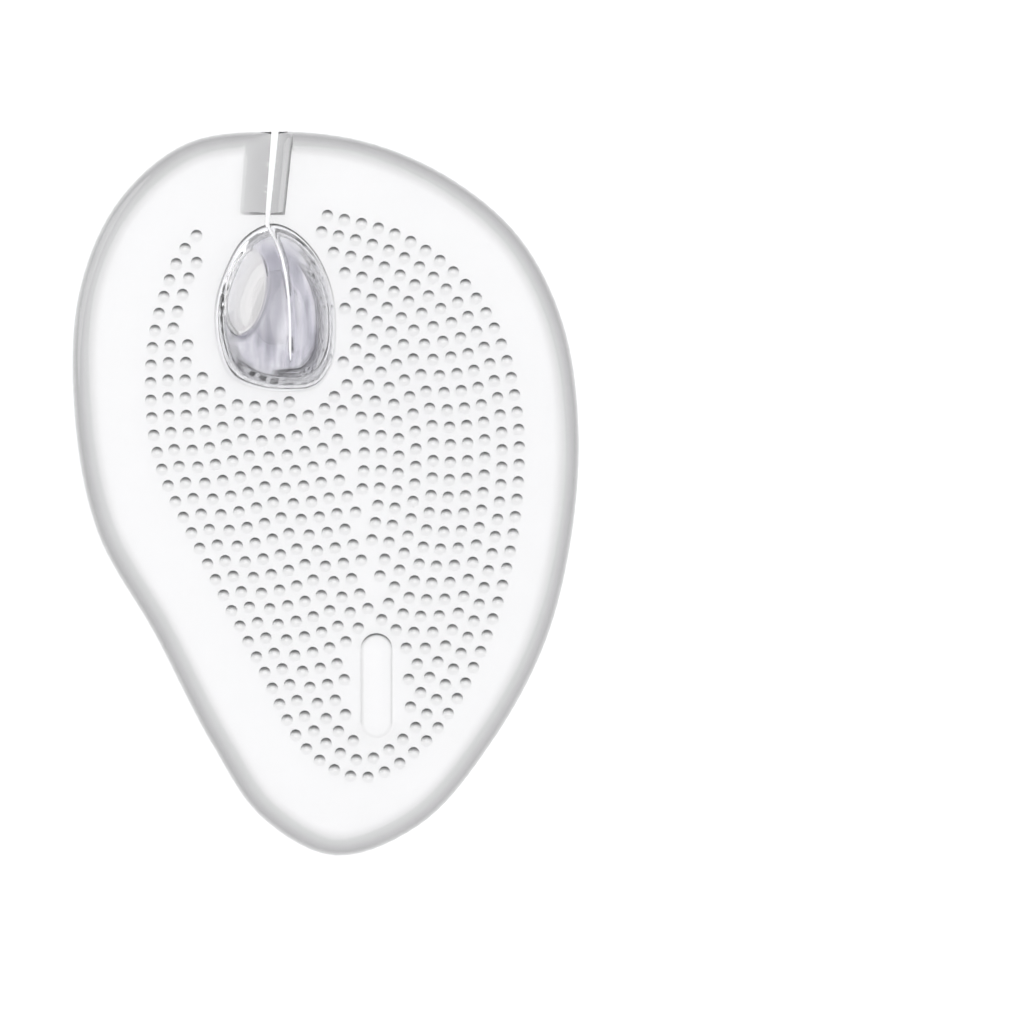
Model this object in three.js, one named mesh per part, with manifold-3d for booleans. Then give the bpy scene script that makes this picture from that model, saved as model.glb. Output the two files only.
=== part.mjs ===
// A clear gel forefoot insole for a sandal with a toe post, as one soft moulding.
// An egg-shaped pad lies flat. A slit runs in from the toe edge to an eyelet for the post,
// two cupped wings guard the post above the pad, and rings of small nubs cover the middle.
// Millimetres. +Y points to the toes and +Z is up.
// The origin is the middle of the underside's bounding box.

import * as THREE from 'three';
import { mergeGeometries, mergeVertices } from 'three/addons/utils/BufferGeometryUtils.js';
import Module from 'manifold-3d';

const wasm = await Module();
wasm.setup();

// Pad
const PAD_LENGTH = 100;
const PAD_WIDTH = 70;
const PAD_THICKNESS = 3;
const RIM_WIDTH = 3.6; // how far the rounded edge reaches in over the pad
const EDGE_HEIGHT = 0.9; // upright edge below the rounding
const UNDERSIDE_BEVEL = 0.4;

// Toe slit and its sloping lips
const SLIT_LENGTH = 13; // toe edge to the guard
const SLIT_MOUTH = 1.0;
const SLIT_THROAT = 0.6;
const LIP_LEFT = 3.6; // how far each lip's slope reaches out from the slit
const LIP_RIGHT = 2.0;
const LIP_DEPTH = 1.5;
const LIP_LEFT_CURVE = 1.2; // 1 is a straight slope, more eases its outer end, less steepens it
const LIP_RIGHT_CURVE = 0.5;
const LIP_END = 1.4; // from the guard to where the lips end
const LIP_FADE = 0.4; // over what length they end

// Guard of two cupped wings over the eyelet
const GUARD_WIDTH = 16.4;
const GUARD_LENGTH = 22.8;
const GUARD_HEIGHT = 9.5; // above the pad
const GUARD_WALL = 1.7;
const GUARD_OFFSET = -7.1; // guard's middle from the pad's middle, across
const CHANNEL_WIDTH = 0.3;
const CHANNEL_SILL = 0.9; // height of gel left under the channel, above the pad
const CHANNEL_REACH = 0.78; // share of the seam that is cut, from the toe end
const ENTRY_REACH = 0.5; // share of the seam over which the slit runs on into the eyelet
const EYELET_WIDTH = 7;
const EYELET_LENGTH = 10.5;

// Nubs
const NUB_DIAMETER = 1.65;
const NUB_HEIGHT = 0.5;
const NUB_PITCH = 2.42; // from nub to nub along a ring
const RING_PITCH = 2.38; // from ring to ring
const NUB_SPACING = 2.05; // least distance of any two nubs

// Smooth places that the nubs keep clear of
const GUARD_CLEAR_ENDS = 1.6; // beyond the guard at its toe and heel ends
const GUARD_CLEAR_SIDES = 2.3;
const GUARD_CLEAR_SHIFT = -1.6; // the smooth place lies a little to one side of the guard
const GUARD_CLEAR_MARGIN = 1.5; // least distance of a nub's middle from the guard itself
const SLIT_CLEAR_LEFT = 9;
const SLIT_CLEAR_RIGHT = 6.3;
const SLIT_CLEAR_OVERLAP = 5; // how far the slit's smooth band runs on beside the guard
const OBLONG_MARGIN = 0.5; // from the raised oblong to the nearest nub's edge

// Raised plain oblong near the heel end
const OBLONG_LENGTH = 14.5;
const OBLONG_WIDTH = 4.4;
const OBLONG_HEIGHT = 0.45;
const OBLONG_BEVEL = 0.3;

// Facets
const PAD_POINTS = 96;
const RIM_STEPS = 5;
const FIELD_POINTS = 720;
const GUARD_POINTS = 40;
const SEAM_STATIONS = 12;
const NUB_SIDES = 6;
const OVERRUN = 2; // how far a cutter runs past what it cuts
const LET_IN = 0.1; // how far feet reach into the pad, and cuts run past what they cut
const GUARD_ROOT = 0.4; // how far the guard's foot reaches into the pad

// Outlines, as shares of half the width (across) and half the length (along).
const PAD_OUTLINE = [
  { across: -0.225, along: 1.0 },
  { across: 0.157, along: 0.972 },
  { across: 0.503, along: 0.867 },
  { across: 0.769, along: 0.706 },
  { across: 0.936, along: 0.478 },
  { across: 1.0, along: 0.201 },
  { across: 0.976, along: -0.104 },
  { across: 0.869, along: -0.409 },
  { across: 0.658, along: -0.684 },
  { across: 0.372, along: -0.914 },
  { across: 0.034, along: -1.0 },
  { across: -0.256, along: -0.895 },
  { across: -0.455, along: -0.692 },
  { across: -0.682, along: -0.387 },
  { across: -0.909, along: -0.104 },
  { across: -1.0, along: 0.229 },
  { across: -0.98, along: 0.556 },
  { across: -0.829, along: 0.803 },
  { across: -0.563, along: 0.964 },
];

// The outermost ring of nubs, as shares of half the pad.
const FIELD_OUTLINE = [
  { across: -0.264, along: 0.795 },
  { across: 0.034, along: 0.761 },
  { across: 0.3, along: 0.706 },
  { across: 0.519, along: 0.598 },
  { across: 0.674, along: 0.437 },
  { across: 0.75, along: 0.229 },
  { across: 0.753, along: 0.007 },
  { across: 0.702, along: -0.229 },
  { across: 0.579, along: -0.479 },
  { across: 0.384, along: -0.689 },
  { across: 0.145, along: -0.784 },
  { across: -0.074, along: -0.709 },
  { across: -0.256, along: -0.479 },
  { across: -0.479, along: -0.182 },
  { across: -0.658, along: 0.085 },
  { across: -0.694, along: 0.298 },
  { across: -0.662, along: 0.492 },
  { across: -0.531, along: 0.698 },
];

// The guard's foot on the pad, as shares of half the guard: narrow towards the toes.
const GUARD_OUTLINE = [
  { across: -0.08, along: 1.0 },
  { across: 0.27, along: 0.93 },
  { across: 0.66, along: 0.66 },
  { across: 0.92, along: 0.25 },
  { across: 1.0, along: -0.2 },
  { across: 0.93, along: -0.68 },
  { across: 0.67, along: -0.95 },
  { across: 0.2, along: -1.0 },
  { across: -0.32, along: -0.96 },
  { across: -0.74, along: -0.82 },
  { across: -0.95, along: -0.47 },
  { across: -1.0, along: 0.0 },
  { across: -0.84, along: 0.43 },
  { across: -0.52, along: 0.83 },
];

// The guard's rise: width and length left at each height, as shares, and the ring's lean
// towards the right (across) and the toes (along), as shares of half the guard.
const GUARD_RISE = [
  { height: 0.0, width: 1.05, length: 1.04, leanAcross: 0.0, leanAlong: 0.0 },
  { height: 0.07, width: 1.0, length: 1.0, leanAcross: 0.0, leanAlong: 0.0 },
  { height: 0.35, width: 0.95, length: 0.94, leanAcross: 0.02, leanAlong: -0.03 },
  { height: 0.62, width: 0.82, length: 0.82, leanAcross: 0.07, leanAlong: -0.07 },
  { height: 0.83, width: 0.62, length: 0.67, leanAcross: 0.13, leanAlong: -0.1 },
  { height: 0.96, width: 0.34, length: 0.45, leanAcross: 0.18, leanAlong: -0.12 },
  { height: 1.0, width: 0.1, length: 0.24, leanAcross: 0.2, leanAlong: -0.13 },
];

// The line where the wings part, as shares of half the guard, from the toe end.
const SEAM = [
  { across: -0.14, along: 1.0 },
  { across: 0.11, along: 0.48 },
  { across: 0.2, along: -0.15 },
  { across: 0.25, along: -1.0 },
];

const OBLONG_PLACE = { across: 0.195, along: -0.53 }; // middle, as shares of half the pad

// Worked out from the sizes above
const GUARD_TOP = PAD_THICKNESS + GUARD_HEIGHT;
const GUARD_MIDDLE = new THREE.Vector2(
  GUARD_OFFSET,
  PAD_LENGTH / 2 - SLIT_LENGTH - GUARD_LENGTH / 2,
);
const OBLONG_MIDDLE = new THREE.Vector2(
  (OBLONG_PLACE.across * PAD_WIDTH) / 2,
  (OBLONG_PLACE.along * PAD_LENGTH) / 2,
);

// A smooth closed loop through a table's points, as evenly spaced points, anticlockwise.
function closedLoop(table, width, length, count) {
  const knots = table.map(
    (row) => new THREE.Vector3((row.across * width) / 2, (row.along * length) / 2, 0),
  );
  const curve = new THREE.CatmullRomCurve3(knots, true, 'centripetal');
  curve.arcLengthDivisions = 4 * count;
  const loop = curve.getSpacedPoints(count).slice(0, count);
  const points = loop.map((point) => new THREE.Vector2(point.x, point.y));
  return THREE.ShapeUtils.area(points) < 0 ? points.reverse() : points;
}

// The pad's outline, stretched so that its box is exactly the pad's width and length.
function padLoop() {
  const loop = closedLoop(PAD_OUTLINE, PAD_WIDTH, PAD_LENGTH, PAD_POINTS);
  const box = new THREE.Box2().setFromPoints(loop);
  const size = box.getSize(new THREE.Vector2());
  const middle = box.getCenter(new THREE.Vector2());
  const stretch = new THREE.Vector2(PAD_WIDTH / size.x, PAD_LENGTH / size.y);
  return loop.map((point) => point.clone().sub(middle).multiply(stretch));
}

// A loop moved inwards by a distance, each point along its own normal.
function insetLoop(loop, distance) {
  return loop.map((point, i) => {
    const before = loop[(i + loop.length - 1) % loop.length];
    const after = loop[(i + 1) % loop.length];
    const along = after.clone().sub(before).normalize();
    return new THREE.Vector2(point.x - along.y * distance, point.y + along.x * distance);
  });
}

function atHeight(loop, z) {
  return loop.map((point) => new THREE.Vector3(point.x, point.y, z));
}

// A closed skin over a stack of rings with equally many points. Seen from the end that the
// stack runs towards, each ring is anticlockwise. The ends are flat in the plane given.
function skin(rings, onPlane = (point) => new THREE.Vector2(point.x, point.y)) {
  const count = rings[0].length;
  const last = (rings.length - 1) * count;
  const faces = [];
  for (let level = 0; level < last; level += count) {
    for (let i = 0; i < count; i++) {
      const a = level + i;
      const b = level + ((i + 1) % count);
      faces.push(a, b, b + count, a, b + count, a + count);
    }
  }
  const startFaces = THREE.ShapeUtils.triangulateShape(rings[0].map(onPlane), []);
  const endFaces = THREE.ShapeUtils.triangulateShape(rings.at(-1).map(onPlane), []);
  for (const [a, b, c] of startFaces) faces.push(a, c, b);
  for (const [a, b, c] of endFaces) faces.push(last + a, last + b, last + c);
  const geometry = new THREE.BufferGeometry().setFromPoints(rings.flat());
  geometry.setIndex(faces);
  return geometry;
}

// The same for upright sections that run from the toes towards the heel.
function sweep(sections) {
  return skin(sections, (point) => new THREE.Vector2(point.x, point.z));
}

// A solid that can be joined and cut, from a closed geometry.
function solid(geometry) {
  const plain = geometry.clone();
  plain.deleteAttribute('normal');
  plain.deleteAttribute('uv');
  const merged = mergeVertices(plain, 1e-4);
  return new wasm.Manifold(
    new wasm.Mesh({
      numProp: 3,
      vertProperties: Float32Array.from(merged.attributes.position.array),
      triVerts: Uint32Array.from(merged.index.array),
    }),
  );
}

// The pad without its slit: bevelled underneath, upright at the edge, then rounded over in a
// quarter of an ellipse to the flat top.
function padSolid() {
  const loop = padLoop();
  const rings = [
    atHeight(insetLoop(loop, UNDERSIDE_BEVEL), 0),
    atHeight(loop, UNDERSIDE_BEVEL),
  ];
  for (let step = 0; step <= RIM_STEPS; step++) {
    const angle = ((Math.PI / 2) * step) / RIM_STEPS;
    const inset = RIM_WIDTH * (1 - Math.cos(angle));
    const rise = (PAD_THICKNESS - EDGE_HEIGHT) * Math.sin(angle);
    rings.push(atHeight(insetLoop(loop, inset), EDGE_HEIGHT + rise));
  }
  return solid(skin(rings));
}

// The guard's outer form, or with a wall taken off all round, the hollow inside it.
function guardForm(wall) {
  const foot = closedLoop(
    GUARD_OUTLINE,
    GUARD_WIDTH - 2 * wall,
    GUARD_LENGTH - 2 * wall,
    GUARD_POINTS,
  );
  const rings = GUARD_RISE.map((row) => {
    const z = PAD_THICKNESS + row.height * (GUARD_HEIGHT - wall);
    return foot.map(
      (point) =>
        new THREE.Vector3(
          GUARD_MIDDLE.x + point.x * row.width + (row.leanAcross * GUARD_WIDTH) / 2,
          GUARD_MIDDLE.y + point.y * row.length + (row.leanAlong * GUARD_LENGTH) / 2,
          z,
        ),
    );
  });
  const root = rings[0].map((point) => point.clone().setZ(PAD_THICKNESS - GUARD_ROOT));
  return solid(skin(wall > 0 ? rings : [root, ...rings]));
}

// The line where the wings part, in place, from the guard's toe end to its heel end.
function seamKnots() {
  return SEAM.map(
    (row) =>
      new THREE.Vector3(
        GUARD_MIDDLE.x + (row.across * GUARD_WIDTH) / 2,
        GUARD_MIDDLE.y + (row.along * GUARD_LENGTH) / 2,
        0,
      ),
  );
}

// The cut for the slit: a narrow slot through the pad between lips that slope down to it. The
// lips end a little short of the guard.
function slitCut() {
  const side = (half, width, depth, curve) => {
    const points = [[half, -OVERRUN]];
    for (let step = 0; step <= RIM_STEPS; step++) {
      const share = step / RIM_STEPS;
      const drop = depth * (1 - share) ** curve;
      points.push([half + width * share, PAD_THICKNESS + LET_IN * share - drop]);
    }
    points.push([half + width, PAD_THICKNESS + OVERRUN]);
    return points;
  };
  const throat = seamKnots()[0];
  const mouth = new THREE.Vector3(GUARD_MIDDLE.x, PAD_LENGTH / 2, 0);
  const section = (reach, depth) => {
    const share = reach / SLIT_LENGTH;
    const point = throat.clone().lerp(mouth, share);
    const half = THREE.MathUtils.lerp(SLIT_THROAT, SLIT_MOUTH, share) / 2;
    const right = side(half, LIP_RIGHT, depth, LIP_RIGHT_CURVE);
    const left = side(half, LIP_LEFT, depth, LIP_LEFT_CURVE).map(([across, z]) => [-across, z]);
    return [...right, ...left.reverse()].map(
      ([across, z]) => new THREE.Vector3(point.x + across, point.y, z),
    );
  };
  const sections = [
    section(SLIT_LENGTH + OVERRUN, LIP_DEPTH),
    section(LIP_END + LIP_FADE, LIP_DEPTH),
    section(LIP_END, 0),
    section(0, 0),
  ];
  return solid(sweep(sections));
}

// An upright slot along the seam, between two heights and two shares of the seam's length.
function seamCut({ width, low, high, from, to }) {
  const knots = seamKnots();
  const before = knots[0].clone().setY(knots[0].y + OVERRUN);
  const after = knots.at(-1).clone().setY(knots.at(-1).y - OVERRUN);
  const curve = new THREE.CatmullRomCurve3([before, ...knots, after], false, 'centripetal');
  const sections = [];
  for (let station = 0; station <= SEAM_STATIONS; station++) {
    const point = curve.getPointAt(from + ((to - from) * station) / SEAM_STATIONS);
    sections.push([
      new THREE.Vector3(point.x + width / 2, point.y, low),
      new THREE.Vector3(point.x + width / 2, point.y, high),
      new THREE.Vector3(point.x - width / 2, point.y, high),
      new THREE.Vector3(point.x - width / 2, point.y, low),
    ]);
  }
  return solid(sweep(sections));
}

// The cut between the wings, above the sill. It stops short of the heel end, where the wings
// stay joined.
function channelCut() {
  return seamCut({
    width: CHANNEL_WIDTH,
    low: PAD_THICKNESS + CHANNEL_SILL,
    high: GUARD_TOP + OVERRUN,
    from: 0,
    to: CHANNEL_REACH,
  });
}

// The cut that carries the slit on under the channel, through the guard's foot and the pad,
// into the eyelet.
function entryCut() {
  return seamCut({
    width: SLIT_THROAT,
    low: -OVERRUN,
    high: PAD_THICKNESS + CHANNEL_SILL + LET_IN,
    from: 0,
    to: ENTRY_REACH,
  });
}

// The cut for the eyelet: an oval hole through the pad into the hollow of the guard.
function eyeletCut() {
  const geometry = new THREE.CylinderGeometry(
    0.5, 0.5, PAD_THICKNESS + OVERRUN + CHANNEL_SILL, GUARD_POINTS,
  );
  geometry.rotateX(Math.PI / 2);
  geometry.scale(EYELET_WIDTH, EYELET_LENGTH, 1);
  geometry.translate(GUARD_MIDDLE.x, GUARD_MIDDLE.y, (PAD_THICKNESS - OVERRUN + CHANNEL_SILL) / 2);
  return solid(geometry);
}

// The raised oblong: a flat slab with round ends and a small bevel, its foot let into the pad.
function oblongSolid() {
  const half = OBLONG_WIDTH / 2 - OBLONG_BEVEL;
  const reach = OBLONG_LENGTH / 2 - OBLONG_WIDTH / 2;
  const outline = new THREE.Shape();
  outline.absarc(0, reach, half, 0, Math.PI, false);
  outline.absarc(0, -reach, half, Math.PI, 2 * Math.PI, false);
  outline.closePath();
  const geometry = new THREE.ExtrudeGeometry(outline, {
    depth: OBLONG_HEIGHT,
    bevelThickness: OBLONG_BEVEL,
    bevelSize: OBLONG_BEVEL,
    bevelSegments: 2,
    curveSegments: 10,
  });
  geometry.translate(
    OBLONG_MIDDLE.x,
    OBLONG_MIDDLE.y,
    PAD_THICKNESS - OBLONG_BEVEL,
  );
  return solid(geometry);
}

// Whether a nub may stand at a point: off the guard, the slit's band and the oblong.
function isOpenPlace(point, guardFoot) {
  const middle = GUARD_MIDDLE;
  const across = point.x - middle.x - GUARD_CLEAR_SHIFT;
  const oval = Math.hypot(
    across / (GUARD_WIDTH / 2 + GUARD_CLEAR_SIDES),
    (point.y - middle.y) / (GUARD_LENGTH / 2 + GUARD_CLEAR_ENDS),
  );
  if (oval < 1) return false;
  if (guardFoot.some((foot) => foot.distanceTo(point) < GUARD_CLEAR_MARGIN)) return false;
  if (
    point.y > middle.y + GUARD_LENGTH / 2 - SLIT_CLEAR_OVERLAP &&
    point.x > middle.x - SLIT_CLEAR_LEFT &&
    point.x < middle.x + SLIT_CLEAR_RIGHT
  ) {
    return false;
  }
  const reach = (OBLONG_LENGTH - OBLONG_WIDTH) / 2;
  const beyond = Math.max(Math.abs(point.y - OBLONG_MIDDLE.y) - reach, 0);
  const fromOblong = Math.hypot(point.x - OBLONG_MIDDLE.x, beyond);
  return fromOblong > OBLONG_WIDTH / 2 + OBLONG_MARGIN + NUB_DIAMETER / 2;
}

// The part of the field's outline, moved inwards, that is no nearer to the outline than that.
// What is dropped lies past the middle line, where rings from the two sides meet.
function innerRing(field, inset) {
  const slack = RING_PITCH / 40;
  return insetLoop(field, inset).filter((point) =>
    field.every((edge) => edge.distanceTo(point) > inset - slack),
  );
}

// Places along a closed loop of points, as evenly as a whole number of steps allows, the first
// one a share of a step on from the loop's start.
function evenPlaces(loop, pitch, start) {
  const lengths = [0];
  loop.forEach((point, i) => {
    lengths.push(lengths.at(-1) + point.distanceTo(loop[(i + 1) % loop.length]));
  });
  const count = Math.round(lengths.at(-1) / pitch);
  const places = [];
  let side = 0;
  for (let i = 0; i < count; i++) {
    const reach = ((i + start) * lengths.at(-1)) / count;
    while (side < loop.length - 1 && lengths[side + 1] <= reach) side++;
    const share = (reach - lengths[side]) / (lengths[side + 1] - lengths[side]);
    places.push(loop[side].clone().lerp(loop[(side + 1) % loop.length], share));
  }
  return places;
}

// Where the nubs stand: evenly along each ring, every other ring half a step on.
function nubPlaces() {
  const field = closedLoop(FIELD_OUTLINE, PAD_WIDTH, PAD_LENGTH, FIELD_POINTS);
  const guardFoot = closedLoop(GUARD_OUTLINE, GUARD_WIDTH, GUARD_LENGTH, GUARD_POINTS).map(
    (point) => point.add(GUARD_MIDDLE),
  );
  const places = [];
  const mostRings = Math.floor(PAD_WIDTH / 2 / RING_PITCH);
  for (let ring = 0; ring < mostRings; ring++) {
    const loop = innerRing(field, ring * RING_PITCH);
    for (const point of evenPlaces(loop, NUB_PITCH, (ring % 2) / 2)) {
      const crowded = places.some((place) => place.distanceTo(point) < NUB_SPACING);
      if (!crowded && isOpenPlace(point, guardFoot)) places.push(point);
    }
  }
  return places;
}

// All the nubs as one solid of low six-sided cones, their feet let into the pad.
function nubSolids() {
  const rise = NUB_HEIGHT + LET_IN;
  const footRadius = ((NUB_DIAMETER / 2) * rise) / NUB_HEIGHT;
  const nub = new THREE.ConeGeometry(footRadius, rise, NUB_SIDES);
  nub.rotateX(Math.PI / 2);
  nub.translate(0, 0, PAD_THICKNESS + rise / 2 - LET_IN);
  const nubs = nubPlaces().map((place) => nub.clone().translate(place.x, place.y, 0));
  return solid(mergeGeometries(nubs));
}

function insoleSolid() {
  const raised = padSolid().add(nubSolids()).add(oblongSolid());
  const wings = guardForm(0).subtract(guardForm(GUARD_WALL)).subtract(channelCut());
  return raised.subtract(slitCut()).add(wings).subtract(entryCut()).subtract(eyeletCut());
}

function meshOf(name, shape, material) {
  const { numProp, vertProperties, triVerts } = shape.getMesh();
  const geometry = new THREE.BufferGeometry();
  const positions = Float32Array.from(vertProperties);
  geometry.setAttribute('position', new THREE.BufferAttribute(positions, numProp));
  geometry.setIndex(new THREE.BufferAttribute(Uint32Array.from(triVerts), 1));
  geometry.computeVertexNormals();
  const mesh = new THREE.Mesh(geometry, material);
  mesh.name = name;
  return mesh;
}

const clearGel = new THREE.MeshStandardMaterial({
  color: '#e6e6ec',
  roughness: 0.1,
  metalness: 0,
});

const insole = new THREE.Group();
insole.add(meshOf('gel_insole', insoleSolid(), clearGel));

export default insole;
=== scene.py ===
# %% [markdown]
# A clear gel forefoot insole for a sandal with a toe post, as a lesson in Blender.
# The real thing is one soft moulding of clear polyurethane gel: an egg-shaped pad with a rounded
# rim, a slit at the toe end, two hollow wings that guard the post, and rings of small nubs.
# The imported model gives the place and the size, and each cell below adds one form or finish.

import math

import bpy
import numpy as np
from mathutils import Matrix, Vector
from mathutils.geometry import delaunay_2d_cdt


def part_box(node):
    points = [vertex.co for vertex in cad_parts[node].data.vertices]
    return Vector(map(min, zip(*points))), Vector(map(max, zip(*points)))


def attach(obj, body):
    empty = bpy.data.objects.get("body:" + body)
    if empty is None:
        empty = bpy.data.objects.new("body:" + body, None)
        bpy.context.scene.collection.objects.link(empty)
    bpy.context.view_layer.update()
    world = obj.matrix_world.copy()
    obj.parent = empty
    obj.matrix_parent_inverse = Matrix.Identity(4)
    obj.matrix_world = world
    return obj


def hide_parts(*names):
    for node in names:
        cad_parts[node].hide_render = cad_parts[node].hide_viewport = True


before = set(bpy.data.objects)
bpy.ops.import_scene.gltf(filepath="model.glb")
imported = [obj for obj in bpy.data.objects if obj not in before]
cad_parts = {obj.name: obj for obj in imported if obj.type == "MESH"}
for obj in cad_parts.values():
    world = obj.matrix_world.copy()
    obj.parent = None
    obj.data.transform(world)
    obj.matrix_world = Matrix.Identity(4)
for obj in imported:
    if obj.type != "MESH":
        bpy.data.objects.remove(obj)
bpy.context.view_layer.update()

MM = 0.001
NODE = "gel_insole"
low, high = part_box(NODE)
PAD_WIDTH = high.x - low.x
PAD_LENGTH = high.y - low.y
GUARD_TOP = high.z
print("pad", round(PAD_WIDTH / MM, 2), "by", round(PAD_LENGTH / MM, 2), "mm, top", round(GUARD_TOP / MM, 2))

# %% [markdown]
# The camera comes first, so that every later look at the picture is from the same place.
# The photograph looks almost straight down with a long lens, and the insole lies left of the
# picture's middle. The camera therefore aims at a point to the right of the insole, and it stands
# a little to the left, which shows more of the left wing.

# %% Camera
PICTURE = 1024
PIXEL = 0.1386 * MM
INSOLE_AT = (326.0, 493.7)
CAMERA_DISTANCE = 900 * MM
CAMERA_LEAN = math.radians(4)

aim = Vector(((PICTURE / 2 - INSOLE_AT[0]) * PIXEL, (INSOLE_AT[1] - PICTURE / 2) * PIXEL, 0))
camera_data = bpy.data.cameras.new("camera")
camera_data.sensor_width = 36
camera_data.lens = camera_data.sensor_width * CAMERA_DISTANCE / (PICTURE * PIXEL)
camera = bpy.data.objects.new("camera", camera_data)
bpy.context.scene.collection.objects.link(camera)
camera.location = aim + CAMERA_DISTANCE * Vector((-math.sin(CAMERA_LEAN), 0, math.cos(CAMERA_LEAN)))
camera.rotation_euler = (0, -CAMERA_LEAN, 0)
bpy.context.scene.camera = camera
print("lens", round(camera_data.lens), "mm")

# %% [markdown]
# Every outline of the moulding is a smooth closed loop through a few points. The points are
# shares of half the width and half the length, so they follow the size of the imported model.
# A Catmull-Rom curve passes through each point, and its centripetal form never kinks.

# %% Smooth loops
STRETCH_STEPS = 60


def root_distance(a, b):
    """The square root of each point's distance from its partner."""
    return np.sqrt(np.linalg.norm(b - a, axis=1))[:, None, None]


def closed_loop(shares, width, length, count):
    """Points evenly spaced along a closed centripetal Catmull-Rom curve. Each stretch blends
    straight lines between four neighbouring points, in steps of the square root of their
    distance, and the points are then spaced evenly by length."""
    p1 = np.array(shares) * (width / 2, length / 2)
    p0, p2, p3 = np.roll(p1, 1, 0), np.roll(p1, -1, 0), np.roll(p1, -2, 0)
    t1 = root_distance(p0, p1)
    t2 = t1 + root_distance(p1, p2)
    t3 = t2 + root_distance(p2, p3)
    share = np.linspace(0, 1, STRETCH_STEPS, endpoint=False)[None, :, None]
    t = t1 + (t2 - t1) * share
    p0, p1, p2, p3 = (p[:, None, :] for p in (p0, p1, p2, p3))
    a1 = p0 + (p1 - p0) * t / t1
    a2 = p1 + (p2 - p1) * (t - t1) / (t2 - t1)
    a3 = p2 + (p3 - p2) * (t - t2) / (t3 - t2)
    b1 = a1 + (a2 - a1) * t / t2
    b2 = a2 + (a3 - a2) * (t - t1) / (t3 - t1)
    curve = (b1 + (b2 - b1) * (t - t1) / (t2 - t1)).reshape(-1, 2)
    x, y = curve.T
    if np.sum(x * np.roll(y, -1) - np.roll(x, -1) * y) < 0:
        curve = curve[::-1]
    return even_points(curve, np.arange(count) / count)


def even_points(loop, shares):
    """The points of a closed loop at the given shares of its length."""
    ring = np.vstack([loop, loop[:1]])
    length = np.r_[0, np.cumsum(np.linalg.norm(np.diff(ring, axis=0), axis=1))]
    places = (shares % 1) * length[-1]
    return np.column_stack([np.interp(places, length, ring[:, i]) for i in (0, 1)])


def inset(loop, distance):
    """A loop moved inwards along its own normals: the tangent turned a quarter to the left."""
    along = np.roll(loop, -1, 0) - np.roll(loop, 1, 0)
    along /= np.linalg.norm(along, axis=1)[:, None]
    return loop + distance * np.column_stack([-along[:, 1], along[:, 0]])


PAD_OUTLINE = [
    (-0.225, 1.0), (0.157, 0.972), (0.503, 0.867), (0.769, 0.706), (0.936, 0.478),
    (1.0, 0.201), (0.976, -0.104), (0.869, -0.409), (0.658, -0.684), (0.372, -0.914),
    (0.034, -1.0), (-0.256, -0.895), (-0.455, -0.692), (-0.682, -0.387), (-0.909, -0.104),
    (-1.0, 0.229), (-0.98, 0.556), (-0.829, 0.803), (-0.563, 0.964),
]
PAD_POINTS = 560
pad_loop = closed_loop(PAD_OUTLINE, PAD_WIDTH, PAD_LENGTH, PAD_POINTS)
middle = (pad_loop.max(0) + pad_loop.min(0)) / 2
pad_loop = (pad_loop - middle) * (PAD_WIDTH, PAD_LENGTH) / np.ptp(pad_loop, axis=0)
print("outline of", len(pad_loop), "points")

# %% [markdown]
# The guard's middle line is where its wings part. The slit in the pad leads to its toe end.
# Two sizes matter for the top surface: how wide the slit is, and how far its lips round over.

# %% The guard's place and the seam
PAD_THICKNESS = 3 * MM
GUARD_WIDTH = 16.4 * MM
GUARD_LENGTH = 22.8 * MM
GUARD_WALL = 1.7 * MM
SLIT_LENGTH = 13 * MM
SLIT_MOUTH = 1.0 * MM
SLIT_THROAT = 0.6 * MM
LIP_LEFT = 3.6 * MM
LIP_RIGHT = 2.0 * MM
LIP_DEPTH = 1.5 * MM
LIP_LEFT_CURVE = 1.2
LIP_RIGHT_CURVE = 0.5
LIP_END = 1.4 * MM
LIP_FADE = 0.4 * MM
OVERRUN = 2 * MM

guard_middle = np.array([-7.1 * MM, PAD_LENGTH / 2 - SLIT_LENGTH - GUARD_LENGTH / 2])
SEAM = [(-0.14, 1.0), (0.11, 0.48), (0.2, -0.15), (0.25, -1.0)]
seam_knots = guard_middle + np.array(SEAM) * (GUARD_WIDTH / 2, GUARD_LENGTH / 2)


def seam_x(y):
    """How far across the seam lies at a height along the pad: straight along the slit, then a
    cubic through the seam's four points."""
    cubic = np.polyfit(seam_knots[:, 1] - guard_middle[1], seam_knots[:, 0], 3)
    slit_share = np.clip((y - seam_knots[0, 1]) / SLIT_LENGTH, 0, 2)
    on_slit = seam_knots[0, 0] + (guard_middle[0] - seam_knots[0, 0]) * slit_share
    on_guard = np.polyval(cubic, np.clip(y, seam_knots[-1, 1] - OVERRUN, None) - guard_middle[1])
    return np.where(y > seam_knots[0, 1], on_slit, on_guard)


def slit_half(y):
    """Half the slit's width: wider at the toe edge than inside."""
    share = np.clip((y - seam_knots[0, 1]) / SLIT_LENGTH, 0, 2)
    return (SLIT_THROAT + (SLIT_MOUTH - SLIT_THROAT) * share) / 2


# %% [markdown]
# The nubs stand in rings. Each ring is the field's leaf-shaped outline moved inwards by a whole
# number of steps, and what has come nearer to the outline than that has crossed the middle line
# and is dropped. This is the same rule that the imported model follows, so the nubs match it.

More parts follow.
